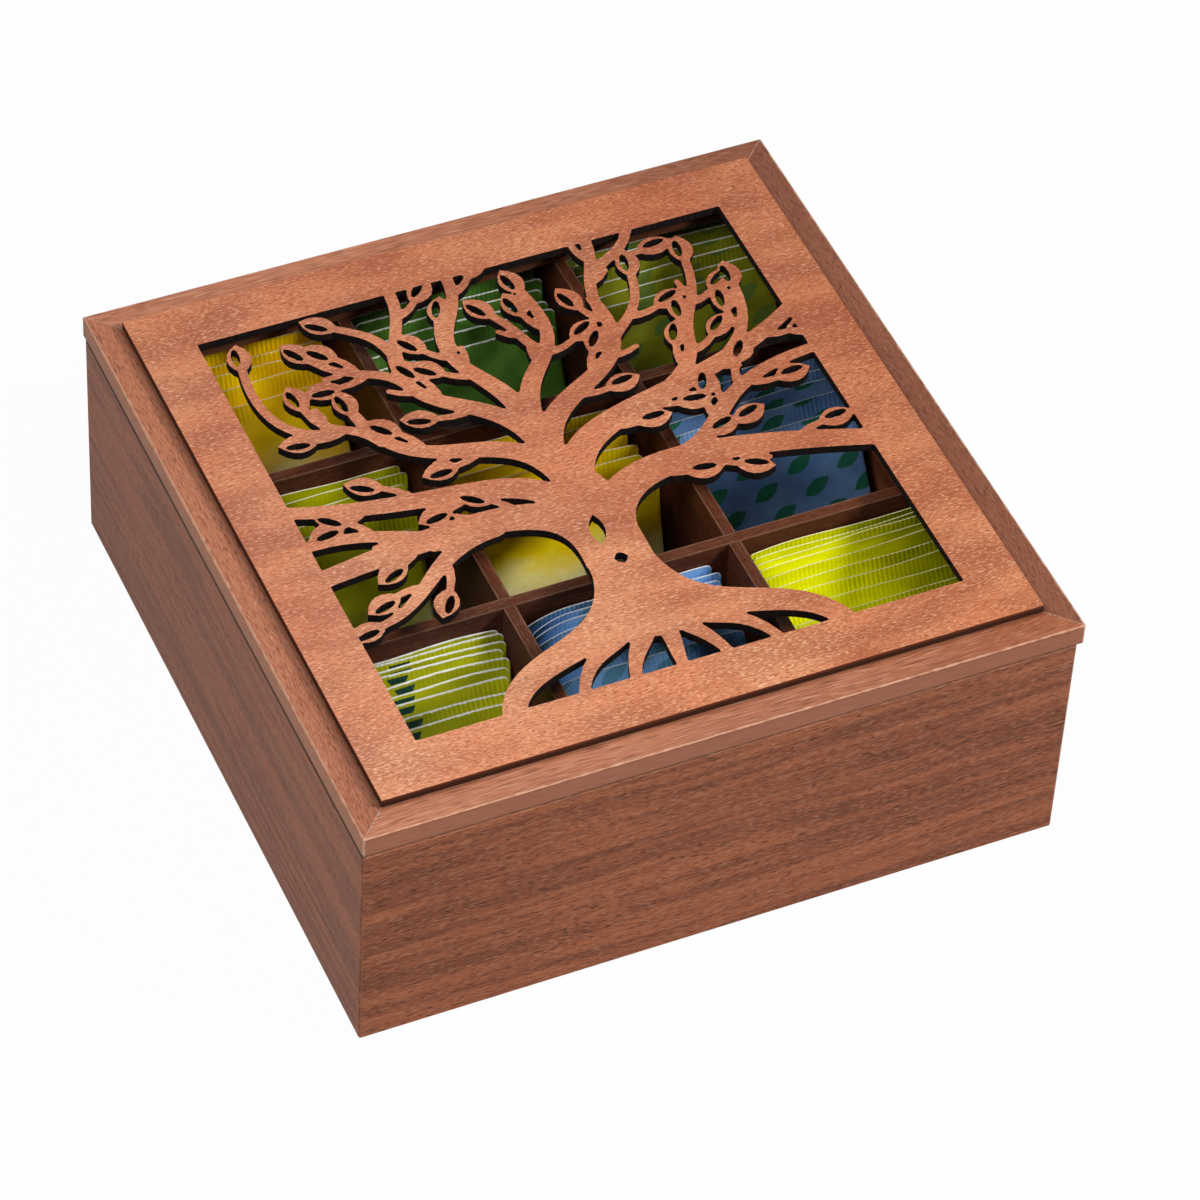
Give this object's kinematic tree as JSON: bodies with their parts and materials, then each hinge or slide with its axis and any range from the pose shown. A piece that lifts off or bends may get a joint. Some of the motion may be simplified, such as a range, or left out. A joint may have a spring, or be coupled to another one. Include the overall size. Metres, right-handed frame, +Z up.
{
  "type": "tea bag organizer box",
  "caption": "Square wooden tea box with a hinged window lid under a pierced tree panel, a divider grid of compartments and leaning stacks of tea sachets.",
  "frame": {"origin": "middle of the flat underside of the box body, without the lid's overhang", "axes": "+X to the right along the front, +Y to the back, where the hinges are, +Z up"},
  "size_m": [0.24, 0.24, 0.0957],
  "materials": {
    "front_and_back_veneer": "satin",
    "side_veneer": "satin",
    "base_board": "matte",
    "divider_wood": "satin",
    "hinge_brass": "satin",
    "screw_brass": "satin",
    "rail_veneer": "satin",
    "fretwork_plywood": "satin",
    "front_left_foil": "gloss",
    "front_middle_foil": "gloss",
    "front_right_foil": "gloss",
    "centre_left_foil": "gloss",
    "centre_middle_foil": "gloss",
    "centre_right_foil": "gloss",
    "rear_left_foil": "gloss",
    "rear_middle_foil": "gloss",
    "rear_right_foil": "gloss",
    "clear_pane": "polished"
  },
  "bodies": {
    "box": {"front_wall": "front_and_back_veneer", "back_wall": "front_and_back_veneer", "left_wall": "side_veneer", "right_wall": "side_veneer", "base_panel": "base_board", "front_divider": "divider_wood", "rear_divider": "divider_wood", "left_divider": "divider_wood", "right_divider": "divider_wood", "left_hinge_box_leaf": "hinge_brass", "right_hinge_box_leaf": "hinge_brass", "left_hinge_pin": "screw_brass", "right_hinge_pin": "screw_brass", "box_hinge_screws": "screw_brass", "sachets_front_left": "front_left_foil", "sachets_front_middle": "front_middle_foil", "sachets_front_right": "front_right_foil", "sachets_centre_left": "centre_left_foil", "sachets_centre_middle": "centre_middle_foil", "sachets_centre_right": "centre_right_foil", "sachets_rear_left": "rear_left_foil", "sachets_rear_middle": "rear_middle_foil", "sachets_rear_right": "rear_right_foil"},
    "lid": {"lid_front_rail": "rail_veneer", "lid_back_rail": "rail_veneer", "lid_left_rail": "rail_veneer", "lid_right_rail": "rail_veneer", "window_pane": "clear_pane", "fretwork_panel": "fretwork_plywood", "left_hinge_lid_leaf": "hinge_brass", "right_hinge_lid_leaf": "hinge_brass", "lid_hinge_screws": "screw_brass"}
  },
  "joints": [
    {"name": "lid_hinge", "type": "hinge", "parent": "box", "child": "lid", "pos_m": [0, 0.11925, 0.08455], "axis": [-1, 0, 0], "range_deg": [0, 100]}
  ]
}
